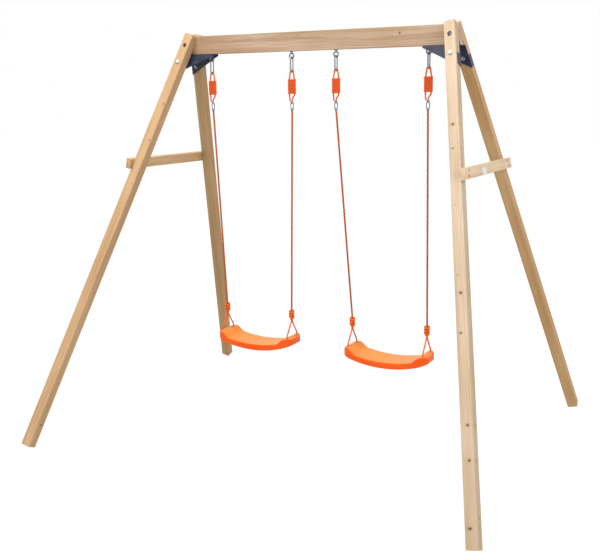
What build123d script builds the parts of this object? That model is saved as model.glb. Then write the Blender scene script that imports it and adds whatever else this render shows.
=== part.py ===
"""Wooden double swing set: two splayed A-frames, a top beam and two rope-hung moulded seats.

Millimetres, +Z up. X runs along the beam, -Y is the front, and the ground is Z = 0.
The origin is on the ground, in the middle of the four feet.
"""

import math
import os

from build123d import *

os.makedirs("parts", exist_ok=True)

# Timber frame
leg_side = 50.0  # square leg
leg_splay = 12.5  # degrees that each A-frame's plane tilts towards the beam's middle
leg_lean = 23.5  # degrees that a leg leans inside that plane
leg_gap = 14.0  # from the beam's face to a leg, at the beam's underside
leg_above = 48.0  # middle of a leg's top end above the beam's middle
beam_bottom = 1905.0
beam_height = 90.0
beam_thick = 45.0
beam_half = 727.0  # half the beam's length, at its middle height
brace_height = 50.0
brace_thick = 24.0
brace_middle = beam_bottom - 540.0  # height of a cross brace's middle
brace_past = 24.0  # brace end past the leg
timber_round = 2.0

# Fasteners
bolt_hole_room = 0.25  # added to a bolt's radius in its hole
leg_bolt_radius = 5.0
leg_bolt_seat = 50.0  # from the middle plane to the washers in the counterbores
leg_bolt_pocket = 11.0  # radius of a counterbore
washer_thick = 2.0
washer_radius = 10.2
hex_head = 6.5
hex_nut = 8.0
hex_radius = 9.6  # across corners, halved
bracket_bolt_radius = 4.0
bracket_bolt_height = beam_bottom - 46.0
bracket_nut = 6.5
bracket_nut_radius = 7.5
cap_radius = 9.5
cap_height = 6.5
cap_wall = 2.0
cap_head = 3.0
screw_radius = 2.5
screw_head_radius = 5.0
screw_head = 2.5
brace_screw_length = 55.0
brace_screw_step = 12.0  # each screw above or below the brace's middle
plate_screw_length = 38.0
plate_screw_places = (625.0, 685.0)
anchor_height = 120.0
anchor_radius = 4.5

# Corner brackets, folded steel
steel = 3.0
plate_tip = 560.0  # the bracket's inner end, from the middle of the beam
plate_outer = 732.0
flap_low = beam_bottom - 97.0
flap_tip = 8.0
tab_wide = 36.0
tab_top = beam_bottom - 43.0
tab_low = beam_bottom - 92.0
tab_round = 13.0

# Label plate
label_long = 64.0
label_tall = 32.0
label_thick = 0.8
label_place = -88.0
label_height = brace_middle - 7.0

# Swings
swing_middle = 352.0  # from the beam's middle to the middle of a swing's eye bolts
eye_half = 232.0  # half the distance between a swing's eye bolts
seat_middles = (-332.0, 405.0)  # where the two seats hang
knot_half = 196.0  # half the distance between a seat's ropes
swing_room = 0.3  # between pieces that turn in each other
eye_wire = 3.5
eye_radius = 12.0
eye_height = beam_bottom - 23.0
eye_shank = 4.0
eye_collar_radius = 8.0
eye_collar = 4.0
eye_washer_radius = 11.0
eye_nut_radius = 7.5
eye_nut = 6.5
eye_pocket = 14.0  # depth of the pockets that hide the nuts in the beam's top
eye_pocket_radius = 12.0
hook_wire = 3.5
hook_radius = 12.5
hook_length = 78.0
gate_wire = 3.0
gate_nose = 2.0
gate_room = 0.5
hinge_up = 8.0  # gate hinge above the middle of the hook's lower bow
hinge_pin = 1.0
hinge_room = 0.05
fork_slot = 2.8
tongue = 2.2
loop_rope = 4.0
loop_half = 14.0
block_wide = 40.0
block_thick = 14.0
block_low = beam_bottom - 203.0
block_tall = 70.0
block_rib = 2.0
block_ribs = 8
link_wire = 2.5
link_radius = 7.5
link_long = 36.0
link_top = beam_bottom - 243.0
ferrule_radius = 7.0
ferrule_long = 12.0
rope_radius = 5.0
knot_top = 611.0
knot_turns = 3
knot_pitch = 16.5
knot_core = 10.0
knot_winding = 9.0
knot_cord = 7.0
rope_end_depth = 7.0
knot_flare = 8.2
bridle_radius = 4.0
bridle_bend = 20.0

# Seats
seat_long = 440.0
seat_deep = 165.0
seat_low = 394.0
seat_thick = 30.0
seat_rise = 42.0  # how far the lower edge rises at the ends
seat_wall = 4.0
seat_corner = 50.0
seat_edge = 6.0
hollow_half = 148.0  # half the length of the hollow between the raised ends
hollow_rise = 17.0
hollow_bend = 30.0
flank_reach = 174.0
flank_rise = 40.0
crest_reach = 196.0
crest_rise = 48.0
end_rise = 38.0
hole_place = 57.0  # bridle holes, from the seat's middle line
boss_bottom = 444.0
boss_radius = 12.0
stop_radius = 9.0
stop_tall = 14.0

splay = math.radians(leg_splay)
lean = math.radians(leg_lean)
beam_top = beam_bottom + beam_height
beam_middle = beam_bottom + beam_height / 2

# A leg's own directions: out of the A-frame's plane, away from the other leg, and up the leg.
# These are the front right leg's; the other three legs are its mirror images.
outward = Vector(math.cos(splay), 0, math.sin(splay))
rise = Vector(-math.sin(splay), 0, math.cos(splay))
spread = Vector(0, -1, 0) * math.cos(lean) + rise * math.sin(lean)
upward = rise * math.cos(lean) + Vector(0, 1, 0) * math.sin(lean)


def leg_point(height):
    """The middle of the front right leg at a height."""
    along = beam_half + (beam_middle - height) * math.tan(splay) - leg_side / 2 / math.cos(splay)
    beside = beam_thick / 2 + leg_gap + leg_side / 2 / math.cos(lean)
    beside += (beam_bottom - height) * math.tan(lean) / math.cos(splay)
    return Vector(along, -beside, height)


def save(part, name):
    part.label = name
    export_step(part, f"parts/{name}.step")


def save_mirrored(part, names):
    """Writes a front right piece and its mirror images: front left, rear right, rear left."""
    save(part, names[0])
    save(mirror(part, about=Plane.YZ), names[1])
    save(mirror(part, about=Plane.XZ), names[2])
    save(mirror(mirror(part, about=Plane.XZ), about=Plane.YZ), names[3])


# Planes and places that features share
foot_height = leg_side / 2 * (math.sin(splay) + math.sin(lean) * math.cos(splay))
leg_foot = Plane(origin=leg_point(foot_height), x_dir=outward, z_dir=upward)
leg_length = (beam_middle + leg_above - foot_height) / upward.Z
bolt_x = leg_point(beam_middle).X
leg_bolt_plane = Plane(origin=(bolt_x, 0, beam_middle), x_dir=(1, 0, 0), z_dir=(0, -1, 0))
bracket_bolt_plane = Plane(
    origin=leg_point(bracket_bolt_height), x_dir=outward, z_dir=spread)
anchor_plane = Plane(origin=leg_point(anchor_height), x_dir=upward, z_dir=outward)
face_x = beam_half + (beam_middle - brace_middle) * math.tan(splay)
brace_plane = Plane(origin=(face_x, 0, brace_middle), x_dir=(0, 1, 0), z_dir=outward)
leg_beside = -leg_point(brace_middle).Y
brace_half = leg_beside + leg_side / 2 / math.cos(lean) + brace_past
brace_screws_at = [
    (row * (leg_beside - step * math.tan(lean)), step)
    for row in (-1, 1)
    for step in (-brace_screw_step, brace_screw_step)
]
eye_places = (
    -swing_middle - eye_half, -swing_middle + eye_half,
    swing_middle - eye_half, swing_middle + eye_half)
knot_places = [middle + end * knot_half for middle in seat_middles for end in (-1, 1)]


# ---- Timber frame ----

with BuildPart() as top_beam:
    end_slope = beam_height / 2 * math.tan(splay)
    with BuildSketch(Plane.XZ):
        with BuildLine():
            Polyline(
                (-beam_half - end_slope, beam_bottom), (beam_half + end_slope, beam_bottom),
                (beam_half - end_slope, beam_top), (-beam_half + end_slope, beam_top),
                close=True)
        make_face()
    extrude(amount=beam_thick / 2, both=True)
    fillet(top_beam.edges().filter_by(Axis.X), timber_round)
    with BuildSketch(leg_bolt_plane):
        Circle(leg_bolt_radius + bolt_hole_room)
        with Locations((-2 * bolt_x, 0)):
            Circle(leg_bolt_radius + bolt_hole_room)
    extrude(amount=beam_thick, both=True, mode=Mode.SUBTRACT)
    with BuildSketch(Plane.XY.offset(beam_bottom)):
        with Locations(*[(x, 0) for x in eye_places]):
            Circle(eye_shank + bolt_hole_room)
    extrude(amount=beam_height, mode=Mode.SUBTRACT)
    with BuildSketch(Plane.XY.offset(beam_top - eye_pocket)):
        with Locations(*[(x, 0) for x in eye_places]):
            Circle(eye_pocket_radius)
    extrude(amount=eye_pocket, mode=Mode.SUBTRACT)
    with BuildSketch(Plane.XY.offset(beam_bottom)):
        with Locations(*[(side * x, 0) for x in plate_screw_places for side in (-1, 1)]):
            Circle(screw_radius)
    extrude(amount=plate_screw_length - steel, mode=Mode.SUBTRACT)
save(top_beam.part, "top_beam")

with BuildPart() as leg:
    with BuildSketch(leg_foot):
        RectangleRounded(leg_side, leg_side, timber_round)
    extrude(amount=leg_length)
    # The leg's inner side is cut flat against the beam.
    split(bisect_by=Plane.XZ.offset(beam_thick / 2), keep=Keep.TOP)
    with BuildSketch(leg_bolt_plane):
        Circle(leg_bolt_radius + bolt_hole_room)
    extrude(amount=leg_bolt_seat + leg_side, mode=Mode.SUBTRACT)
    with BuildSketch(leg_bolt_plane.offset(leg_bolt_seat)):
        Circle(leg_bolt_pocket)
    extrude(amount=leg_side, mode=Mode.SUBTRACT)
    with BuildSketch(bracket_bolt_plane):
        Circle(bracket_bolt_radius + bolt_hole_room)
    extrude(amount=leg_side, both=True, mode=Mode.SUBTRACT)
    with BuildSketch(anchor_plane):
        Circle(anchor_radius)
    extrude(amount=leg_side, both=True, mode=Mode.SUBTRACT)
    with BuildSketch(brace_plane):
        with Locations(*brace_screws_at[:2]):
            Circle(screw_radius)
    extrude(amount=-(brace_screw_length - brace_thick), mode=Mode.SUBTRACT)
save_mirrored(leg.part, ("leg_front_right", "leg_front_left", "leg_rear_right", "leg_rear_left"))

with BuildPart() as cross_brace:
    with BuildSketch(brace_plane):
        Rectangle(2 * brace_half, brace_height)
    extrude(amount=brace_thick)
    fillet(cross_brace.edges().filter_by(Axis.Y), timber_round)
    with BuildSketch(brace_plane):
        with Locations(*brace_screws_at):
            Circle(screw_radius)
    extrude(amount=brace_thick, mode=Mode.SUBTRACT)
save(cross_brace.part, "cross_brace_right")
save(mirror(cross_brace.part, about=Plane.YZ), "cross_brace_left")


# ---- Corner brackets ----

flap_plane = Plane(
    origin=leg_point(beam_bottom) - spread * (leg_side / 2), x_dir=outward, z_dir=-spread)
tab_plane = Plane(
    origin=leg_point(beam_bottom) + outward * (leg_side / 2), x_dir=spread, z_dir=outward)


def flap_point(along, height):
    """Where the flap's plane has this distance along the beam and this height."""
    start = flap_plane.origin
    shift = (along - start.X) * spread.X + (height - start.Z) * spread.Z
    beside = start.Y - shift / spread.Y
    return flap_plane.to_local_coords(Vector(along, beside, height))


def flap_outer(height):
    """The corner of the flap and its tab, beside the leg's edge, at this height."""
    reach = leg_side / 2 + steel
    up = (height - flap_plane.origin.Z - reach * outward.Z) / upward.Z
    return flap_plane.to_local_coords(flap_plane.origin + outward * reach + upward * up)


def on_tab(height):
    return (beam_bottom - height) / upward.Z


with BuildPart() as bracket:
    with BuildSketch(flap_plane):
        with BuildLine():
            corners = (
                flap_point(plate_tip, beam_bottom), flap_outer(beam_bottom),
                flap_outer(flap_low), flap_point(plate_tip, beam_bottom - flap_tip))
            Polyline(*[(corner.X, corner.Y) for corner in corners], close=True)
        make_face()
    extrude(amount=steel)
    with BuildSketch(tab_plane) as tab:
        with Locations((-leg_side / 2 - steel, on_tab(tab_top))):
            Rectangle(tab_wide, on_tab(tab_low) - on_tab(tab_top), align=(Align.MIN, Align.MIN))
        fillet(tab.vertices().group_by(Axis(tab_plane.origin, spread))[-1], tab_round)
    extrude(amount=steel)
    with BuildSketch(bracket_bolt_plane):
        Circle(bracket_bolt_radius + bolt_hole_room)
    extrude(amount=-leg_side, mode=Mode.SUBTRACT)
    mirror(about=Plane.XZ)
    tip = flap_plane.from_local_coords(flap_point(plate_tip, beam_bottom))
    outer = flap_plane.from_local_coords(flap_point(plate_outer, beam_bottom))
    with BuildSketch(Plane.XY.offset(beam_bottom - steel)):
        with BuildLine():
            Polyline(
                (tip.X, tip.Y), (outer.X, outer.Y), (outer.X, -outer.Y), (tip.X, -tip.Y),
                close=True)
        make_face()
    extrude(amount=steel)
    with BuildSketch(Plane.XY.offset(beam_bottom - steel)):
        with Locations((eye_places[3], 0)):
            Circle(eye_shank + bolt_hole_room)
        with Locations(*[(x, 0) for x in plate_screw_places]):
            Circle(screw_radius)
    extrude(amount=steel, mode=Mode.SUBTRACT)
save(bracket.part, "corner_bracket_right")
save(mirror(bracket.part, about=Plane.YZ), "corner_bracket_left")


# ---- Fasteners ----

head_at = leg_bolt_seat + washer_thick
with BuildPart() as leg_bolts:
    with BuildSketch(leg_bolt_plane.offset(-head_at - hex_nut - washer_thick)):
        Circle(leg_bolt_radius)
    extrude(amount=2 * head_at + hex_nut + washer_thick)
    with BuildSketch(leg_bolt_plane.offset(head_at)):
        RegularPolygon(hex_radius, 6)
    extrude(amount=hex_head)
    mirror(about=Plane.YZ)
save(leg_bolts.part, "leg_bolts")

with BuildPart() as leg_bolt_nuts:
    with BuildSketch(leg_bolt_plane.offset(-head_at - hex_nut)):
        RegularPolygon(hex_radius, 6)
        Circle(leg_bolt_radius, mode=Mode.SUBTRACT)
    extrude(amount=hex_nut)
    mirror(about=Plane.YZ)
save(leg_bolt_nuts.part, "leg_bolt_nuts")

with BuildPart() as leg_bolt_washers:
    with BuildSketch(leg_bolt_plane.offset(leg_bolt_seat)):
        Circle(washer_radius)
        Circle(leg_bolt_radius + bolt_hole_room, mode=Mode.SUBTRACT)
    extrude(amount=washer_thick)
    mirror(about=Plane.XZ)
    mirror(about=Plane.YZ)
save(leg_bolt_washers.part, "leg_bolt_washers")

nut_face = -leg_side / 2 - steel
with BuildPart() as bracket_bolts:
    with BuildSketch(bracket_bolt_plane.offset(nut_face - bracket_nut - washer_thick)):
        Circle(bracket_bolt_radius)
    extrude(amount=leg_side / 2 - nut_face + bracket_nut + washer_thick)
    with BuildSketch(bracket_bolt_plane.offset(leg_side / 2)):
        Circle(cap_radius - cap_wall - 2 * bolt_hole_room)
    extrude(amount=cap_head)
    mirror(about=Plane.XZ)
    mirror(about=Plane.YZ)
save(bracket_bolts.part, "bracket_bolts")

with BuildPart() as bracket_bolt_caps:
    with BuildSketch(bracket_bolt_plane.offset(leg_side / 2)):
        Circle(cap_radius)
    extrude(amount=cap_height)
    fillet(bracket_bolt_caps.edges().sort_by(Axis(bracket_bolt_plane.origin, spread))[-1], cap_wall)
    with BuildSketch(bracket_bolt_plane.offset(leg_side / 2)):
        Circle(cap_radius - cap_wall)
    extrude(amount=cap_height - cap_wall, mode=Mode.SUBTRACT)
    mirror(about=Plane.XZ)
    mirror(about=Plane.YZ)
save(bracket_bolt_caps.part, "bracket_bolt_caps")

with BuildPart() as bracket_nuts:
    with BuildSketch(bracket_bolt_plane.offset(nut_face)):
        Circle(bracket_nut_radius + washer_thick)
        Circle(bracket_bolt_radius, mode=Mode.SUBTRACT)
    extrude(amount=-washer_thick)
    with BuildSketch(bracket_bolt_plane.offset(nut_face)):
        RegularPolygon(bracket_nut_radius, 6)
        Circle(bracket_bolt_radius, mode=Mode.SUBTRACT)
    extrude(amount=-bracket_nut)
    mirror(about=Plane.XZ)
    mirror(about=Plane.YZ)
save(bracket_nuts.part, "bracket_nuts")

with BuildPart() as bracket_screws:
    with BuildSketch(Plane.XY.offset(beam_bottom - steel)):
        with Locations(*[(side * x, 0) for x in plate_screw_places for side in (-1, 1)]):
            Circle(screw_radius)
    extrude(amount=plate_screw_length)
    with BuildSketch(Plane.XY.offset(beam_bottom - steel)):
        with Locations(*[(side * x, 0) for x in plate_screw_places for side in (-1, 1)]):
            Circle(screw_head_radius)
    extrude(amount=-screw_head)
save(bracket_screws.part, "bracket_screws")

with BuildPart() as brace_screws:
    with BuildSketch(brace_plane.offset(brace_thick)):
        with Locations(*brace_screws_at):
            Circle(screw_radius)
    extrude(amount=-brace_screw_length)
    with BuildSketch(brace_plane.offset(brace_thick)):
        with Locations(*brace_screws_at):
            Circle(screw_head_radius)
    extrude(amount=screw_head)
    mirror(about=Plane.YZ)
save(brace_screws.part, "brace_screws")

with BuildPart() as label_plate:
    label_up = (label_height - brace_middle) / rise.Z
    with BuildSketch(brace_plane.offset(brace_thick)):
        with Locations((label_place, label_up)):
            RectangleRounded(label_long, label_tall, timber_round)
    extrude(amount=label_thick)
save(label_plate.part, "label_plate")


# ---- Eye bolts, which carry the swings ----

plate_eyes = (eye_places[0], eye_places[3])
eye_seat = beam_top - eye_pocket
with BuildPart() as eye_bolts:
    for x in eye_places:
        under = beam_bottom - washer_thick - (steel if x in plate_eyes else 0)
        with Locations(Location((x, 0, eye_height), (90, 0, 0))):
            Torus(eye_radius, eye_wire)
        with BuildSketch(Plane.XY.offset(under - eye_collar)):
            with Locations((x, 0)):
                Circle(eye_collar_radius)
        extrude(amount=eye_collar)
        with BuildSketch(Plane.XY.offset(eye_height + eye_radius)):
            with Locations((x, 0)):
                Circle(eye_shank)
        extrude(amount=eye_seat + 2 * washer_thick + eye_nut - eye_height - eye_radius)
save(eye_bolts.part, "eye_bolts")

with BuildPart() as eye_washers:
    for x in eye_places:
        under = beam_bottom - (steel if x in plate_eyes else 0)
        for height in (under - washer_thick, eye_seat):
            with BuildSketch(Plane.XY.offset(height)):
                with Locations((x, 0)):
                    Circle(eye_washer_radius)
                    Circle(eye_shank + bolt_hole_room, mode=Mode.SUBTRACT)
            extrude(amount=washer_thick)
save(eye_washers.part, "eye_washers")

with BuildPart() as eye_nuts:
    with BuildSketch(Plane.XY.offset(eye_seat + washer_thick)):
        with Locations(*[(x, 0) for x in eye_places]):
            RegularPolygon(eye_nut_radius, 6)
            Circle(eye_shank, mode=Mode.SUBTRACT)
    extrude(amount=eye_nut)
save(eye_nuts.part, "eye_nuts")


# ---- Hanging hardware and ropes, one set for each rope ----

hook_pivot = eye_height - eye_radius
upper_bow = hook_pivot + eye_wire + swing_room - (hook_radius - hook_wire)
lower_bow = upper_bow - (hook_length - 2 * (hook_radius + hook_wire))
loop_pivot = lower_bow - hook_radius
gate_pivot = lower_bow + hinge_up
link_upper = link_top - link_wire - link_radius
link_lower = link_top - link_long + link_wire + link_radius
link_hang = link_lower - link_radius
rope_pivot = knot_top - rope_end_depth
loop_radius = hook_wire + swing_room + loop_rope
block_top = block_low + block_tall
seat_top = seat_low + seat_thick
seat_crest = seat_top + crest_rise


def link_shape(x, wire):
    """An oval link standing across the rope, with this radius of wire."""
    with BuildPart(mode=Mode.PRIVATE) as link:
        with BuildLine(Plane.XZ) as line:
            Line((x + link_radius, link_lower), (x + link_radius, link_upper))
            CenterArc((x, link_upper), link_radius, 0, 180)
            Line((x - link_radius, link_upper), (x - link_radius, link_lower))
            CenterArc((x, link_lower), link_radius, 180, 180)
        with BuildSketch(Plane.XY.offset(link_lower)):
            with Locations((x + link_radius, 0)):
                Circle(wire)
        sweep(path=line.line)
    return link.part


for number, (eye_x, knot_x) in enumerate(zip(eye_places, knot_places), start=1):
    with BuildPart() as snap_hook:
        with BuildLine(Plane.YZ.offset(eye_x)) as wire:
            Line((hook_radius, upper_bow - gate_nose), (hook_radius, upper_bow))
            CenterArc((0, upper_bow), hook_radius, 0, 180)
            Line((-hook_radius, upper_bow), (-hook_radius, lower_bow))
            CenterArc((0, lower_bow), hook_radius, 180, 180)
            Line((hook_radius, lower_bow), (hook_radius, gate_pivot + tongue))
        with BuildSketch(Plane.XY.offset(upper_bow - gate_nose)):
            with Locations((eye_x, hook_radius)):
                Circle(hook_wire)
        sweep(path=wire.line)
        # The lower end is forked round the gate's tongue.
        with BuildSketch(Plane.YZ.offset(eye_x)):
            with Locations((hook_radius, gate_pivot - hook_wire)):
                Rectangle(3 * hook_wire, 3 * hook_wire, align=(Align.CENTER, Align.MIN))
        extrude(amount=fork_slot / 2, both=True, mode=Mode.SUBTRACT)
        with BuildSketch(Plane.YZ.offset(eye_x)):
            with Locations((hook_radius, gate_pivot)):
                Circle(hinge_pin)
        extrude(amount=hook_wire - hinge_room, both=True)
    save(snap_hook.part, f"snap_hook_{number}")

    with BuildPart() as gate:
        gate_foot = gate_pivot + 2 * tongue
        with BuildSketch(Plane.XY.offset(gate_foot)):
            with Locations((eye_x, hook_radius)):
                Circle(gate_wire)
        extrude(amount=upper_bow - gate_nose - gate_room - gate_foot)
        with BuildSketch(Plane.YZ.offset(eye_x)):
            with Locations((hook_radius, gate_pivot)):
                Circle(hinge_pin + swing_room + hinge_pin)
                Rectangle(
                    2 * (2 * hinge_pin + swing_room), 2 * tongue + hinge_pin,
                    align=(Align.CENTER, Align.MIN))
        extrude(amount=tongue / 2, both=True)
        with BuildSketch(Plane.YZ.offset(eye_x)):
            with Locations((hook_radius, gate_pivot)):
                Circle(hinge_pin + hinge_room)
        extrude(amount=tongue, both=True, mode=Mode.SUBTRACT)
    save(gate.part, f"hook_gate_{number}")

    # The loop leaves the hook on both sides and spreads to the block's two bores.
    spread_drop = loop_pivot - block_top - loop_rope
    reach = math.hypot(loop_half, spread_drop)
    lift = math.degrees(math.acos(loop_radius / reach) - math.atan2(spread_drop, loop_half))
    leave_x = loop_radius * math.cos(math.radians(lift))
    leave_z = loop_pivot + loop_radius * math.sin(math.radians(lift))
    loop_end = link_upper + ferrule_long + 2
    with BuildPart() as adjuster_loop:
        with BuildLine(Plane.XZ) as strand:
            FilletPolyline(
                (eye_x, loop_end), (eye_x, loop_end + 3 * loop_rope),
                (eye_x + loop_half, block_low - 1.5 * loop_rope),
                (eye_x + loop_half, block_top + loop_rope), (eye_x + leave_x, leave_z),
                radius=(14, 14, 40))
            CenterArc((eye_x, loop_pivot), loop_radius, lift, 180 - 2 * lift)
            FilletPolyline(
                (eye_x - leave_x, leave_z), (eye_x - loop_half, block_top + loop_rope),
                (eye_x - loop_half, block_low - 1.5 * loop_rope),
                (eye_x - loop_half + 3, loop_end), radius=(40, 60))
        with BuildSketch(Plane.XY.offset(loop_end)):
            with Locations((eye_x, 0)):
                Circle(loop_rope)
        sweep(path=strand.line)
    save(adjuster_loop.part, f"adjuster_loop_{number}")

    with BuildPart() as adjuster_block:
        with BuildSketch(Plane.XY.offset(block_low)):
            with Locations((eye_x, 0)):
                RectangleRounded(block_wide, block_thick, block_thick / 3)
        extrude(amount=block_tall)
        for rib in range(block_ribs):
            with BuildSketch(Plane.XY.offset(block_low + (rib + 0.25) * block_tall / block_ribs)):
                with Locations((eye_x, 0)):
                    RectangleRounded(
                        block_wide, block_thick + 2 * block_rib, block_thick / 3)
            extrude(amount=block_tall / block_ribs / 2)
        with BuildSketch(Plane.XY.offset(block_low)):
            with Locations((eye_x - loop_half, 0), (eye_x + loop_half, 0)):
                Circle(loop_rope + bolt_hole_room)
        extrude(amount=block_tall, mode=Mode.SUBTRACT)
    save(adjuster_block.part, f"adjuster_block_{number}")

    save(link_shape(eye_x, link_wire), f"link_ring_{number}")

    hang = Vector(eye_x, 0, link_hang)
    rope_foot = Vector(knot_x, 0, rope_pivot)
    rope_plane = Plane(origin=hang, x_dir=(0, 1, 0), z_dir=rope_foot - hang)
    below = ferrule_long * 2 / 3
    with BuildPart() as rope:
        with BuildSketch(rope_plane.offset(below)):
            Circle(rope_radius)
        extrude(amount=(rope_foot - hang).length - below)
        with Locations(Location(rope_foot)):
            Sphere(rope_radius)
    save(rope.part, f"rope_{number}")

    with BuildPart() as wrap_knot:
        knot_bottom = knot_top - (knot_turns - 1) * knot_pitch - 2 * knot_cord
        with BuildSketch(Plane.XY.offset(knot_bottom)):
            with Locations((knot_x, 0)):
                Circle(knot_core)
        extrude(amount=knot_top - knot_bottom)
        for turn in range(knot_turns):
            with Locations(Location((knot_x, 0, knot_top - knot_cord - turn * knot_pitch))):
                Torus(knot_winding, knot_cord)
        # The rope's round end turns in a flared cup in the knot's top.
        with Locations(Location(rope_foot)):
            Sphere(rope_radius + swing_room, mode=Mode.SUBTRACT)
            Cone(
                rope_radius + 1.5 * swing_room, knot_flare, rope_end_depth + 1,
                align=(Align.CENTER, Align.CENTER, Align.MIN), mode=Mode.SUBTRACT)
    save(wrap_knot.part, f"wrap_knot_{number}")

    with BuildPart() as bridle:
        first = bridle_radius + 0.5
        with BuildLine(Plane.YZ.offset(knot_x)) as strand:
            FilletPolyline(
                (first, knot_bottom), (first, knot_bottom - 14), (hole_place, seat_crest + 4),
                (hole_place, boss_bottom), radius=(18, bridle_bend))
        with BuildSketch(Plane.XY.offset(knot_bottom)):
            with Locations((knot_x, first)):
                Circle(bridle_radius)
        sweep(path=strand.line)
        mirror(about=Plane.XZ)
    save(bridle.part, f"bridle_{number}")


# ---- Ferrules, seats and stop knots, one set for each swing ----

def seat_face(middle, half, top, low):
    """The seat's side view, with this half length and these heights at its middle."""
    with BuildSketch(Plane.XZ, mode=Mode.PRIVATE) as face:
        with BuildLine():
            ThreePointArc(
                (middle - hollow_half, top + hollow_rise), (middle, top),
                (middle + hollow_half, top + hollow_rise))
            for end in (-1, 1):
                Line(
                    (middle + end * hollow_half, top + hollow_rise),
                    (middle + end * flank_reach, top + flank_rise))
                ThreePointArc(
                    (middle + end * flank_reach, top + flank_rise),
                    (middle + end * crest_reach, top + crest_rise),
                    (middle + end * half, top + end_rise))
                Line(
                    (middle + end * half, top + end_rise), (middle + end * half, low + seat_rise))
            ThreePointArc(
                (middle - half, low + seat_rise), (middle, low), (middle + half, low + seat_rise))
        make_face()
        hollow_ends = face.vertices().filter_by(
            lambda vertex: abs(abs(vertex.X - middle) - hollow_half) < 1)
        fillet(hollow_ends, hollow_bend)
        flank_ends = face.vertices().filter_by(
            lambda vertex: abs(abs(vertex.X - middle) - flank_reach) < 1)
        fillet(flank_ends, seat_edge)
    return face.sketch


for name, middle in zip(("left", "right"), seat_middles):
    ropes = [pair for pair in zip(eye_places, knot_places) if pair[0] * middle > 0]

    with BuildPart() as ferrules:
        for eye_x, knot_x in ropes:
            with BuildSketch(Plane.XY.offset(link_upper + 2)):
                with Locations((eye_x, 0)):
                    Circle(ferrule_radius)
            extrude(amount=ferrule_long)
            hang = Vector(eye_x, 0, link_hang)
            aim = Vector(knot_x, 0, rope_pivot) - hang
            with BuildSketch(Plane(origin=hang, x_dir=(0, 1, 0), z_dir=aim).offset(
                    -ferrule_long / 3)):
                Circle(ferrule_radius)
            extrude(amount=ferrule_long)
            add(link_shape(eye_x, link_wire + bolt_hole_room), mode=Mode.SUBTRACT)
    save(ferrules.part, f"ferrules_{name}")

    with BuildPart() as seat:
        with BuildSketch(Plane.XY.offset(seat_low)):
            with Locations((middle, 0)):
                RectangleRounded(seat_long, seat_deep, seat_corner)
        extrude(amount=seat_crest)
        extrude(
            seat_face(middle, seat_long / 2 + 2, seat_top, seat_low),
            amount=seat_deep, both=True, mode=Mode.INTERSECT)
        across = seat.edges().filter_by(Axis.Y).filter_by(
            lambda edge: abs(edge.center().X - middle) < seat_long / 2 - 1)
        rim = set(seat.faces().filter_by(lambda face: face.normal_at().Z > 0.3).edges())
        fillet(rim - set(across), seat_edge)
        with BuildPart(mode=Mode.PRIVATE) as hollow:
            with BuildSketch(Plane.XY.offset(seat_low - seat_rise)):
                with Locations((middle, 0)):
                    RectangleRounded(
                        seat_long - 2 * seat_wall, seat_deep - 2 * seat_wall,
                        seat_corner - seat_wall)
            extrude(amount=seat_crest)
            extrude(
                seat_face(middle, seat_long / 2, seat_top - seat_wall, seat_low - seat_rise - 1),
                amount=seat_deep, both=True, mode=Mode.INTERSECT)
        add(hollow.part, mode=Mode.SUBTRACT)
        corners = [(middle + end * knot_half, row * hole_place)
                   for end in (-1, 1) for row in (-1, 1)]
        with BuildSketch(Plane.XY.offset(boss_bottom)):
            with Locations(*corners):
                Circle(boss_radius)
        extrude(amount=seat_crest - boss_bottom - seat_wall / 2)
        with BuildSketch(Plane.XY.offset(boss_bottom)):
            with Locations(*corners):
                Circle(bridle_radius + 2 * bolt_hole_room)
        extrude(amount=2 * (seat_crest - boss_bottom), mode=Mode.SUBTRACT)
    save(seat.part, f"seat_{name}")

    with BuildPart() as stop_knots:
        with BuildSketch(Plane.XY.offset(boss_bottom)):
            with Locations(*corners):
                Circle(stop_radius)
        extrude(amount=-stop_tall)
        fillet(stop_knots.edges(), stop_tall / 4)
    save(stop_knots.part, f"stop_knots_{name}")
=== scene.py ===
"""Wooden double swing set in daylight on a pale floor: its finishes, ropes and knots."""

import math

import bpy
from mathutils import Matrix, Vector


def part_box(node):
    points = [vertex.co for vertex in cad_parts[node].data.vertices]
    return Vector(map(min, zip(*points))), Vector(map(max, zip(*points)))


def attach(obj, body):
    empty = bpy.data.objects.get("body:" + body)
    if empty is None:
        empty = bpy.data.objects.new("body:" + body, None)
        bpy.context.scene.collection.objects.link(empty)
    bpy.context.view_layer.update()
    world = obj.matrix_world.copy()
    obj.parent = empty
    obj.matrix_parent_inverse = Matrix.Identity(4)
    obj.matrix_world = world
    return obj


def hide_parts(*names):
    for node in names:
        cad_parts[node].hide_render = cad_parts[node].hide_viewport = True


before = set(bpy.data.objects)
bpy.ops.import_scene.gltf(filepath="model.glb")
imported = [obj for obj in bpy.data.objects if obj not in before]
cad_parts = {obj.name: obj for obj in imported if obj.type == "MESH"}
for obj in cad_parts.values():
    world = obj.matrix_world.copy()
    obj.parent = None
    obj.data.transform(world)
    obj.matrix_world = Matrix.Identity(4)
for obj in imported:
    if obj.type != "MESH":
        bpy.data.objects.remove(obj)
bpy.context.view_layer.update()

# Places and sizes that the ropes share with the solid parts, in metres
EYES = (-0.584, -0.120, 0.120, 0.584)
KNOTS = (-0.528, -0.136, 0.209, 0.601)
SWINGS = ("left", "left", "right", "right")
ROPE_TOP = 1.6285  # where a swing rope's line meets its link
FERRULE_BELOW = 0.008  # from there to where the rope leaves its ferrule
ROPE_FOOT = 0.604
ROPE, LOOP_ROPE, BRIDLE_ROPE, KNOT_ROPE = 0.010, 0.008, 0.008, 0.013  # thicknesses
KNOT_TOP, KNOT_BOTTOM = 0.611, 0.564
KNOT_WINDING = 0.0095  # radius of the middle of a knot's turns
BLOCK_LOW, BLOCK_TOP = 1.702, 1.772
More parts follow.
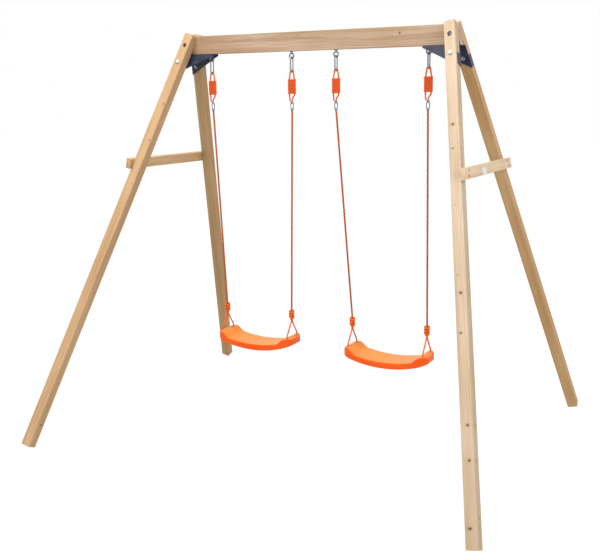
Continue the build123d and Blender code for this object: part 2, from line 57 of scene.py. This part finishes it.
LOOP_END, LOOP_TURN = 1.666, 1.8063  # a loop's lower end, and the middle of its upper bend
LOOP_HALF, LOOP_BOW = 0.014, 0.0081  # half a loop's width at the block and at the hook
SEAT_CREST, SEAT_BOSS = 0.476, 0.444
HOLE_PLACE = 0.057  # a rope hole, from the seat's middle line
SEAT_CORNER, SEAT_EDGE = 0.050, 0.006  # rounding of a seat's outline and of its rim

# How far one turn of a rope's twist runs, in metres
SWING_LAY, LOOP_LAY, BRIDLE_LAY, KNOT_LAY, CORE_LAY = 0.054, 0.026, 0.027, 0.042, 0.050

STRAND_SHARE = 0.27  # a strand's radius, as a share of its rope's thickness

LEG_SPLAY = math.radians(12.5)
LEG_LEAN = math.radians(23.5)
BEAM_MIDDLE = 1.95


# ---- Shader maths ----

class Signal:
    """A socket on which + - * and / add Math nodes."""

    def __init__(self, finish, socket):
        self.finish, self.socket = finish, socket

    def _math(self, operation, first, second):
        return self.finish.add(
            "Math", {"operation": operation}, {0: first, 1: second})

    def __add__(self, other):
        return self._math("ADD", self, other)

    def __sub__(self, other):
        return self._math("SUBTRACT", self, other)

    def __rsub__(self, other):
        return self._math("SUBTRACT", other, self)

    def __mul__(self, other):
        return self._math("MULTIPLY", self, other)

    def __truediv__(self, other):
        return self._math("DIVIDE", self, other)

    __radd__ = __add__
    __rmul__ = __mul__


class Finish:
    """A material with one Principled shader, built up from what varies over a surface."""

    def __init__(self, name, constants):
        self.material = bpy.data.materials.new(name)
        self.material.use_nodes = True
        self.tree = self.material.node_tree
        self.tree.nodes.clear()
        self.shader = self.tree.nodes.new("ShaderNodeBsdfPrincipled")
        end = self.tree.nodes.new("ShaderNodeOutputMaterial")
        self.tree.links.new(self.shader.outputs[0], end.inputs[0])
        for socket, value in constants.items():
            self.feed(self.shader.inputs[socket], value)
        self.place = self.add("TexCoord", {}, {}, "Object")

    def feed(self, socket, value):
        if isinstance(value, Signal):
            self.tree.links.new(value.socket, socket)
        else:
            socket.default_value = value

    def add(self, kind, settings, values, output=0):
        """A node of this kind, with its settings, its sockets' values or links, and one output."""
        node = self.tree.nodes.new("ShaderNode" + kind)
        for name, value in settings.items():
            setattr(node, name, value)
        for name, value in values.items():
            self.feed(node.inputs[name], value)
        return Signal(self, node.outputs[output])

    def noise(self, place, scale, detail=2.0, roughness=0.5):
        return self.add(
            "TexNoise", {},
            {"Vector": place, "Scale": scale, "Detail": detail, "Roughness": roughness}, "Fac")

    def ease(self, value, low, high):
        """0 below low, 1 above high, and a smooth rise between."""
        return self.add(
            "MapRange", {"interpolation_type": "SMOOTHSTEP"},
            {"Value": value, "From Min": low, "From Max": high}, "Result")

    def wave(self, value):
        return self.add("Math", {"operation": "SINE"}, {0: value})

    def blend(self, share, first, second):
        return self.add(
            "Mix", {"data_type": "RGBA"}, {"Factor": share, 6: first, 7: second}, 2)

    def along(self, direction, centre=(0, 0, 0)):
        """How far a point lies in this direction from a centre."""
        reach = self.add(
            "VectorMath", {"operation": "DOT_PRODUCT"},
            {0: self.place, 1: tuple(direction)}, "Value")
        return reach - Vector(direction).dot(Vector(centre))

    def vector(self, x, y, z):
        return self.add("CombineXYZ", {}, {0: x, 1: y, 2: z})

    def relief(self, height, depth):
        """Bumps this many metres deep where height goes from 0 to 1."""
        bump = self.add("Bump", {}, {"Height": height, "Distance": depth, "Strength": 1.0})
        self.feed(self.shader.inputs["Normal"], bump)

    def colour(self, value):
        self.feed(self.shader.inputs["Base Color"], value)

    def roughness(self, value):
        self.feed(self.shader.inputs["Roughness"], value)


def rgb(code, tone=(1.0, 1.0, 1.0)):
    """A colour as shaders read it, from six hexadecimal digits of screen colour."""
    parts = [int(code[start:start + 2], 16) / 255 for start in (0, 2, 4)]
    return (*[share * (part / 12.92 if part < 0.04 else ((part + 0.055) / 1.055) ** 2.4)
              for share, part in zip(tone, parts)], 1)


def give(name, finish):
    """A carried-over solid gets this finish all over."""
    mesh = bpy.data.objects[name].data
    mesh.materials.clear()
    mesh.materials.append(finish.material)


# ---- Finishes ----

def planed_timber(name, length_way, across, centre, pith, seed, tone, clear):
    """Planed softwood sawn along length_way, its growth rings round a pith beside the centre.

    The higher clear is, from 0 to 1, the fewer its knots are."""
    finish = Finish(name, {"Specular IOR Level": 0.3})
    ring_step = 0.0062
    limb_rows, limb_columns = 20.0, 1.1  # places for a knot in a metre, and in a radian
    widest_knot = 0.12  # radius, as a share of the space between rows
    length_way, across = Vector(length_way).normalized(), Vector(across).normalized()
    beyond = length_way.cross(across)
    run = finish.along(length_way, centre) + seed * 3.7
    u, v = finish.along(across, centre), finish.along(beyond, centre)
    drift = finish.noise(finish.vector(seed * 1.0, 0.0, run), 1.3, 3.0) - 0.5
    sway = finish.noise(finish.vector(0.0, seed * 2.0, run), 2.1, 3.0) - 0.5

    # Knots: limbs that grow outward from the pith, and grain that flows past them.
    turn = finish.add("Math", {"operation": "ARCTAN2"}, {0: v - pith[1], 1: u - pith[0]})
    limb_place = finish.vector(turn * limb_columns + seed, run * limb_rows, 0.0)
    voronoi = {"feature": "F1", "voronoi_dimensions": "2D"}
    sockets = {"Vector": limb_place, "Scale": 1.0, "Randomness": 0.85}
    limb = finish.add("TexVoronoi", voronoi, sockets, "Distance")
    chance = finish.add(
        "SeparateColor", {}, {"Color": finish.add("TexVoronoi", voronoi, sockets, "Color")})
    knot_edge = finish.ease(chance, clear, clear + 0.12) * widest_knot + 0.001
    knot = 1 - finish.ease(limb / knot_edge, 0.55, 1.05)
    halo = 1 - finish.ease(limb / knot_edge, 0.9, 2.6)

    ring_place = finish.vector(u + drift * 0.030 - pith[0], v + sway * 0.030 - pith[1], 0.0)
    radius = finish.add("VectorMath", {"operation": "LENGTH"}, {0: ring_place}, "Value")
    waver = finish.noise(finish.vector(u * 9.0, v * 9.0, run * 2.0), 2.0, 3.0) - 0.5
    rings = finish.wave((radius + waver * 0.006 + halo * 0.006) * (2 * math.pi / ring_step))
    late = finish.ease(rings, 0.1, 0.95)
    broad = finish.noise(finish.vector(u * 26.0, v * 26.0, run * 1.1), 1.6, 3.0)
    fibre = finish.noise(finish.vector(u * 600.0, v * 600.0, run * 14.0), 1.0, 3.0, 0.6)
    patch = finish.noise(finish.vector(u * 4.0, v * 4.0, run * 1.6), 1.4, 2.0)

    pale = finish.blend(finish.ease(patch, 0.3, 0.7), rgb("A9957C", tone), rgb("9E8569", tone))
    warm = finish.blend(finish.ease(broad, 0.36, 0.68) * 0.6, pale, rgb("8E7452", tone))
    grained = finish.blend(late * 0.24, warm, rgb("7D613F", tone))
    fine = finish.blend(finish.ease(fibre, 0.45, 0.8) * 0.26, grained, rgb("7C6041", tone))
    ringed = finish.blend(halo * 0.30, fine, rgb("785636", tone))
    finish.colour(finish.blend(knot * 0.88, ringed, rgb("40291A", tone)))
    finish.roughness(0.60 + fibre * 0.16 + knot * -0.12)
    finish.relief(fibre * 0.6 + late * 0.3 + knot * 0.5, 0.0004)
    return finish


def powder_coat():
    finish = Finish("black_powder_coat", {"Specular IOR Level": 0.3})
    grain = finish.noise(finish.place, scale=2600.0)
    wear = finish.noise(finish.place, scale=34.0, detail=4.0, roughness=0.6)
    finish.colour(finish.blend(
        finish.ease(wear, 0.35, 0.75), rgb("090B16"), rgb("18264F")))
    finish.roughness(0.34 + wear * 0.22)
    finish.relief(grain, 0.00012)
    return finish


def zinc_plate():
    finish = Finish("zinc_plate", {"Metallic": 1.0})
    cloud = finish.noise(finish.place, scale=90.0, detail=3.0)
    flow = finish.add("Mapping", {}, {"Vector": finish.place, "Scale": (900.0, 900.0, 120.0)})
    brushed = finish.noise(flow, 1.0, 2.0)
    finish.colour(finish.blend(cloud, rgb("B4B8BC"), rgb("44484C")))
    finish.roughness(0.22 + cloud * 0.16 + brushed * 0.10)
    finish.relief(brushed, 0.00006)
    return finish


def cap_plastic():
    finish = Finish("white_cap_plastic", {"Specular IOR Level": 0.45})
    dust = finish.noise(finish.place, scale=160.0, detail=3.0)
    finish.colour(finish.blend(finish.ease(dust, 0.4, 0.8), rgb("BAB9B4"), rgb("9C9991")))
    finish.roughness(0.34 + dust * 0.14)
    finish.relief(dust, 0.00008)
    return finish


def label_sheet():
    """A blank plate: a thin darker border a little inside the edge, and no lettering."""
    finish = Finish("blank_label_plate", {"Specular IOR Level": 0.4})
    low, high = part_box("label_plate")
    middle = [(a + b) / 2 for a, b in zip(low, high)]
    half = [(b - a) / 2 for a, b in zip(low, high)]
    sideways = finish.add(
        "Math", {"operation": "ABSOLUTE"}, {0: finish.along((0, 1, 0), middle) / half[1]})
    upways = finish.add(
        "Math", {"operation": "ABSOLUTE"}, {0: finish.along((0, 0, 1), middle) / half[2]})
    edge = finish.ease(sideways, 0.90, 0.92) * (1 - finish.ease(sideways, 0.94, 0.96))
    rail = finish.ease(upways, 0.80, 0.84) * (1 - finish.ease(upways, 0.88, 0.92))
    border = finish.add("Math", {"operation": "MAXIMUM"}, {0: edge, 1: rail})
    mottle = finish.noise(finish.place, scale=220.0)
    face = finish.blend(mottle, rgb("C6C7C5"), rgb("BABBB8"))
    finish.colour(finish.blend(border * 0.7, face, rgb("8A8D90")))
    finish.roughness(0.3 + mottle * 0.15)
    return finish


def twisted_rope(name, tone):
    """Orange polypropylene: fine fibres, darker in the hollows and slightly faded in places."""
    finish = Finish(name, {"Specular IOR Level": 0.1})
    fine = finish.noise(finish.place, scale=2400.0)
    thread = finish.add("Mapping", {}, {"Vector": finish.place, "Scale": (2200.0, 2200.0, 420.0)})
    strand = finish.noise(thread, 1.0, 2.0)
    faded = finish.noise(finish.place, scale=22.0, detail=3.0)
    bright = finish.blend(finish.ease(faded, 0.35, 0.7), rgb("A24612", tone), rgb("AE501A", tone))
    finish.colour(finish.blend(finish.ease(strand, 0.45, 0.8) * 0.5, bright, rgb("5A1F09", tone)))
    finish.roughness(0.5 + fine * 0.25)
    finish.relief(strand, 0.0003)
    return finish


def adjuster_plastic():
    finish = Finish("orange_adjuster_plastic", {"Specular IOR Level": 0.2})
    mottle = finish.noise(finish.place, scale=70.0, detail=3.0)
    grain = finish.noise(finish.place, scale=1900.0)
    finish.colour(finish.blend(mottle, rgb("D4541A"), rgb("BC4A10")))
    finish.roughness(0.30 + mottle * 0.15)
    finish.relief(grain, 0.00008)
    return finish


def seat_plastic(side):
    """Moulded polyethylene: finely grained, and paler on top with painted light, as if sunlit."""
    finish = Finish(f"orange_seat_plastic_{side}", {
        "Specular IOR Level": 0.12})
    low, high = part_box(f"seat_{side}")
    middle = [(start + end) / 2 for start, end in zip(low, high)]
    past_straight = []
    for axis, way in enumerate(((1, 0, 0), (0, 1, 0))):
        distance = finish.add("Math", {"operation": "ABSOLUTE"}, {0: finish.along(way, middle)})
        straight = (high[axis] - low[axis]) / 2 - SEAT_CORNER
        past_straight.append(finish.add(
            "Math", {"operation": "MAXIMUM"}, {0: distance - straight, 1: 0.0}))
    reach = finish.add(
        "VectorMath", {"operation": "LENGTH"}, {0: finish.vector(*past_straight, 0.0)}, "Value")
    # Painted light: inside the outline, away from its rounded rim, the seat is coloured paler than
    # its skirt round the sides, so the top looks lit.
    lit_top_mask = 1 - finish.ease(reach, SEAT_CORNER - SEAT_EDGE, SEAT_CORNER - 0.001)
    grain = finish.noise(finish.place, scale=1500.0)
    flow = finish.noise(finish.place, scale=9.0, detail=3.0)
    scuff = finish.noise(
        finish.add("Mapping", {}, {"Vector": finish.place, "Scale": (60.0, 240.0, 60.0)}),
        1.0, 4.0, 0.65)
    moulded = finish.blend(finish.ease(flow, 0.3, 0.7), rgb("D04B0D"), rgb("D65211"))
    # Painted light: the top is coloured paler (C67229) than the sides, as if lit from above.
    painted_lit_top = finish.blend(lit_top_mask, moulded, rgb("C67229"))
    finish.colour(finish.blend(finish.ease(scuff, 0.62, 0.82) * 0.35, painted_lit_top, rgb("D08440")))
    finish.roughness(0.26 + flow * 0.10 + finish.ease(scuff, 0.55, 0.8) * 0.14)
    finish.relief(grain, 0.0001)
    return finish


# ---- Ropes ----

def route_line(corners):
    """The points of the smooth line that has these corners as its control points."""
    curve = bpy.data.curves.new("route", "CURVE")
    curve.dimensions = "3D"
    spline = curve.splines.new("NURBS")
    spline.points.add(len(corners) - 1)
    for point, corner in zip(spline.points, corners):
        point.co = (*corner, 1)
    spline.order_u = 3
    spline.use_endpoint_u = True
    spline.resolution_u = 16
    holder = bpy.data.objects.new("route", curve)
    mesh = bpy.data.meshes.new_from_object(holder)
    line = [vertex.co.copy() for vertex in mesh.vertices]
    bpy.data.meshes.remove(mesh)
    bpy.data.objects.remove(holder)
    bpy.data.curves.remove(curve)
    return line


def evenly(line, step):
    """Points this far apart along a line, and the line's direction at each."""
    places, ways, left = [], [], 0.0
    for start, end in zip(line, line[1:]):
        run = (end - start).length
        while left < run:
            places.append(start.lerp(end, left / run))
            ways.append((end - start).normalized())
            left += step
        left -= run
    places.append(line[-1].copy())
    ways.append((line[-1] - line[-2]).normalized())
    return places, ways


def lay_rope(name, line, thickness, lay, steps=10, strands=3):
    """A rope of twisted strands along a line, one turn of twist for each lay's length."""
    places, ways = evenly(line, lay / steps)
    strand = thickness * STRAND_SHARE
    offset = thickness / 2 - strand
    side = ways[0].orthogonal().normalized()
    curve = bpy.data.curves.new(name, "CURVE")
    curve.dimensions = "3D"
    curve.bevel_depth = strand
    curve.bevel_resolution = 2
    curve.use_fill_caps = True
    splines = []
    for _ in range(strands):
        spline = curve.splines.new("POLY")
        spline.points.add(len(places) - 1)
        splines.append(spline)
    for count, (place, way) in enumerate(zip(places, ways)):
        side = (side - way * side.dot(way)).normalized()
        for number, spline in enumerate(splines):
            turn = 2 * math.pi * (count / steps + number / strands)
            reach = Matrix.Rotation(turn, 3, way) @ side * offset
            spline.points[count].co = (*(place + reach), 1)
    return as_mesh(name, curve)


def as_mesh(name, curve):
    """A bevelled curve as a mesh piece of the same name."""
    holder = bpy.data.objects.new(name + "_curve", curve)
    mesh = bpy.data.meshes.new_from_object(holder)
    mesh.name = name
    bpy.data.objects.remove(holder)
    bpy.data.curves.remove(curve)
    piece = bpy.data.objects.new(name, mesh)
    bpy.context.scene.collection.objects.link(piece)
    for polygon in mesh.polygons:
        polygon.use_smooth = True
    return piece


def dress(piece, finish, slot, body, *nodes):
    """A piece gets its finish and its body, and stands for these solids; the slot it is handed is
    not used.
    """
    piece.data.materials.clear()
    piece.data.materials.append(finish.material)
    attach(piece, body)
    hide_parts(*nodes)
    return piece


def swing_rope(number, eye, knot, swing, finish):
    top = Vector((eye, 0, ROPE_TOP))
    foot = Vector((knot, 0, ROPE_FOOT))
    start = top.lerp(foot, FERRULE_BELOW / (foot - top).length)
    line = route_line([start, start.lerp(foot, 0.06), start.lerp(foot, 0.94), foot])
    rope = lay_rope(f"swing_rope_{number}", line, ROPE, SWING_LAY)
    dress(rope, finish, "orange_rope", f"ropes_{swing}", f"rope_{number}")


def adjuster_rope(number, eye, swing, finish):
    """The rope that leaves the block, goes over the hook's lower bow and comes back."""
    shoulder = LOOP_BOW + 0.0012
    line = route_line([
        (eye + x, 0, z) for x, z in (
            (0, LOOP_END), (0, LOOP_END + 0.012), (LOOP_HALF, BLOCK_LOW - 0.008),
            (LOOP_HALF, BLOCK_LOW + 0.004), (LOOP_HALF, BLOCK_TOP + 0.006),
            (shoulder, LOOP_TURN - 0.009), (LOOP_BOW, LOOP_TURN + LOOP_BOW),
            (-LOOP_BOW, LOOP_TURN + LOOP_BOW), (-shoulder, LOOP_TURN - 0.009),
            (-LOOP_HALF, BLOCK_TOP + 0.006), (-LOOP_HALF, BLOCK_LOW + 0.004),
            (-LOOP_HALF, BLOCK_LOW - 0.008), (-LOOP_HALF + 0.003, LOOP_END))])
    rope = lay_rope(f"adjuster_rope_{number}", line, LOOP_ROPE, LOOP_LAY)
    dress(rope, finish, "orange_rope", f"ropes_{swing}", f"adjuster_loop_{number}")


def wound_knot(number, knot, swing, finish):
    """A thick rope wound three times round the doubled end above the bridle."""
    drop = KNOT_TOP - KNOT_BOTTOM - KNOT_ROPE
    turns, steps = 3.3, 16
    level, falling = 0.12, 0.76  # shares of the winding before it falls, and while it does
    count = int(turns * steps)
    corners = []
    for index in range(count + 1):
        share = index / count
        angle = 2 * math.pi * turns * share
        settled = min(1.0, max(0.0, (share - level) / falling))
        corners.append((
            knot + KNOT_WINDING * math.cos(angle), KNOT_WINDING * math.sin(angle),
            KNOT_TOP - KNOT_ROPE / 2 - drop * settled))
    winding = lay_rope(f"wound_knot_{number}", route_line(corners), KNOT_ROPE, KNOT_LAY)
    core = lay_rope(
        f"knot_core_{number}",
        [Vector((knot, 0, KNOT_BOTTOM - 0.002)), Vector((knot, 0, ROPE_FOOT - 0.007))],
        2.2 * BRIDLE_ROPE, CORE_LAY, strands=4)
    dress(winding, finish, "orange_rope", f"seat_{swing}", f"wrap_knot_{number}")
    dress(core, finish, "orange_rope", f"seat_{swing}", f"wrap_knot_{number}")


def bridle_rope(number, knot, swing, row, name, finish):
    """One leg of a bridle, from the knot down into its hole in the seat's raised end."""
    line = route_line([
        (knot, row * y, z) for y, z in (
            (0.0045, KNOT_BOTTOM), (0.0045, KNOT_BOTTOM - 0.014), (0.0126, KNOT_BOTTOM - 0.0254),
            (0.0395, SEAT_CREST + 0.0244), (HOLE_PLACE, SEAT_CREST), (HOLE_PLACE, SEAT_BOSS))])
    rope = lay_rope(f"bridle_{name}_{number}", line, BRIDLE_ROPE, BRIDLE_LAY)
    dress(rope, finish, "orange_rope", f"seat_{swing}", f"bridle_{number}")


# ---- Finishes on the solid parts ----

def finish_timber():
    cos_splay, sin_splay = math.cos(LEG_SPLAY), math.sin(LEG_SPLAY)
    cos_lean, sin_lean = math.cos(LEG_LEAN), math.sin(LEG_LEAN)
    legs = (("front_right", 1, -1), ("front_left", -1, -1),
            ("rear_right", 1, 1), ("rear_left", -1, 1))
    piths = ((0.034, 0.020), (-0.030, 0.028), (0.022, -0.036), (-0.038, -0.016))
    # Each leg's tone is partly its board's own colour and partly painted light: the front right
    # leg is made paler and bluer, and the rear legs warmer and darker, as each looks under this
    # light.
    tones_with_painted_light = ((1.23, 1.30, 1.42), (1.14, 1.01, 0.82), (1.17, 1.0, 0.72), (1.0, 0.88, 0.66))
    clears = (0.66, 0.86, 0.76, 0.86)
    for seed, ((name, side, row), pith, tone, clear) in enumerate(
            zip(legs, piths, tones_with_painted_light, clears), start=1):
        low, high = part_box(f"leg_{name}")
        centre = [(a + b) / 2 for a, b in zip(low, high)]
        grain_way = (-side * sin_splay * cos_lean, -row * sin_lean, cos_splay * cos_lean)
        give(f"leg_{name}", planed_timber(
            f"timber_leg_{name}", grain_way, (side * cos_splay, 0, sin_splay), centre, pith,
            seed * 1.31, tone, clear))
    give("top_beam", planed_timber(
        "timber_beam", (1, 0, 0), (0, 1, 0), (0, 0, BEAM_MIDDLE), (0.060, 0.024), 8.2,
        (1.03, 0.98, 1.02), 0.92))
    # The braces' tones are likewise partly the boards' own colour and partly painted light; the
    # right brace is made much paler.
    for name, side, tone in (
            ("left", -1, (1.24, 1.14, 0.95)), ("right", 1, (1.56, 1.60, 1.66))):
        low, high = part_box(f"cross_brace_{name}")
        centre = [(a + b) / 2 for a, b in zip(low, high)]
        give(f"cross_brace_{name}", planed_timber(
            f"timber_brace_{name}", (0, 1, 0), (side * cos_splay, 0, sin_splay), centre,
            (0.030, 0.052), 10.4 + side, tone, 0.96))


def finish_hardware():
    steel, zinc = powder_coat(), zinc_plate()
    # One rope fibre in two copies: the swing ropes take the darker one, which is painted shade,
    # and the knots, bridles, stop knots and adjuster loops a copy made brighter, which is painted
    # light.
    rope = twisted_rope("orange_rope_fibre", (1.0, 1.0, 1.0))
    lit_knot_fibre = twisted_rope("orange_rope_fibre_painted_light", (1.7, 1.5, 1.0))
    block = adjuster_plastic()
    for side in ("left", "right"):
        give(f"corner_bracket_{side}", steel)
        give(f"ferrules_{side}", zinc)
        give(f"seat_{side}", seat_plastic(side))
        give(f"stop_knots_{side}", lit_knot_fibre)
    for name in (
            "leg_bolts", "leg_bolt_nuts", "leg_bolt_washers", "bracket_bolts", "bracket_nuts",
            "bracket_screws", "brace_screws", "eye_bolts", "eye_washers", "eye_nuts"):
        give(name, zinc)
    give("bracket_bolt_caps", cap_plastic())
    give("label_plate", label_sheet())
    for number in range(1, 5):
        give(f"snap_hook_{number}", zinc)
        give(f"hook_gate_{number}", zinc)
        give(f"link_ring_{number}", zinc)
        give(f"adjuster_block_{number}", block)
    return rope, lit_knot_fibre


# ---- Floor, light and camera ----

def floor():
    bpy.ops.object.select_all(action="DESELECT")
    bpy.ops.mesh.primitive_plane_add(size=60, location=(0, 0, 0))
    ground = bpy.context.active_object
    ground.name = "floor"
    finish = Finish("pale_floor", {
        "Roughness": 0.9, "Specular IOR Level": 0.0, "Emission Color": (1, 1, 1, 1),
        "Emission Strength": 1.0})
    mottle = finish.noise(finish.place, scale=0.4)
    finish.colour(finish.blend(mottle, (0.03, 0.03, 0.03, 1), (0.05, 0.05, 0.05, 1)))
    ground.data.materials.append(finish.material)


def soft_light(name, place, target, size, power):
    lamp = bpy.data.lights.new(name, "AREA")
    lamp.shape, lamp.size, lamp.energy = "DISK", size, power
    holder = bpy.data.objects.new(name, lamp)
    holder.location = place
    way = Vector(target) - Vector(place)
    holder.rotation_euler = way.to_track_quat("-Z", "Y").to_euler()
    bpy.context.scene.collection.objects.link(holder)


def daylight():
    world = bpy.data.worlds.new("pale_sky")
    world.use_nodes = True
    sky = world.node_tree.nodes["Background"]
    sky.inputs["Color"].default_value = (1.0, 1.0, 1.0, 1)
    sky.inputs["Strength"].default_value = 1.0
    bpy.context.scene.world = world
    bpy.context.scene.view_settings.view_transform = "Standard"
    soft_light("key", (-0.8, -2.1, 7.2), (0, 0, 1.0), 2.8, 520)
    soft_light("side", (5.4, -2.4, 3.8), (0.4, 0, 0.9), 2.4, 120)


def camera():
    place, focal_length = (1.99574, -3.87256, 1.67803), 52.82
    lens = bpy.data.cameras.new("viewpoint")
    lens.sensor_width = 36
    lens.lens = focal_length
    holder = bpy.data.objects.new("viewpoint", lens)
    heading, dip, roll = (math.radians(angle) for angle in (28.255, 11.60, -0.549))
    holder.matrix_world = (
        Matrix.Translation(place)
        @ Matrix.Rotation(heading, 4, "Z") @ Matrix.Rotation(math.pi / 2 - dip, 4, "X")
        @ Matrix.Rotation(roll, 4, "Z"))
    bpy.context.scene.collection.objects.link(holder)
    bpy.context.scene.camera = holder


camera()
rope_finish, lit_fibre_finish = finish_hardware()
finish_timber()
for number, (eye, knot, swing) in enumerate(zip(EYES, KNOTS, SWINGS), start=1):
    swing_rope(number, eye, knot, swing, rope_finish)
    # The adjuster loops, knots and bridles take the brighter copy of the fibre: painted light.
    adjuster_rope(number, eye, swing, lit_fibre_finish)
    wound_knot(number, knot, swing, lit_fibre_finish)
    bridle_rope(number, knot, swing, -1, "front", lit_fibre_finish)
    bridle_rope(number, knot, swing, 1, "rear", lit_fibre_finish)
floor()
daylight()
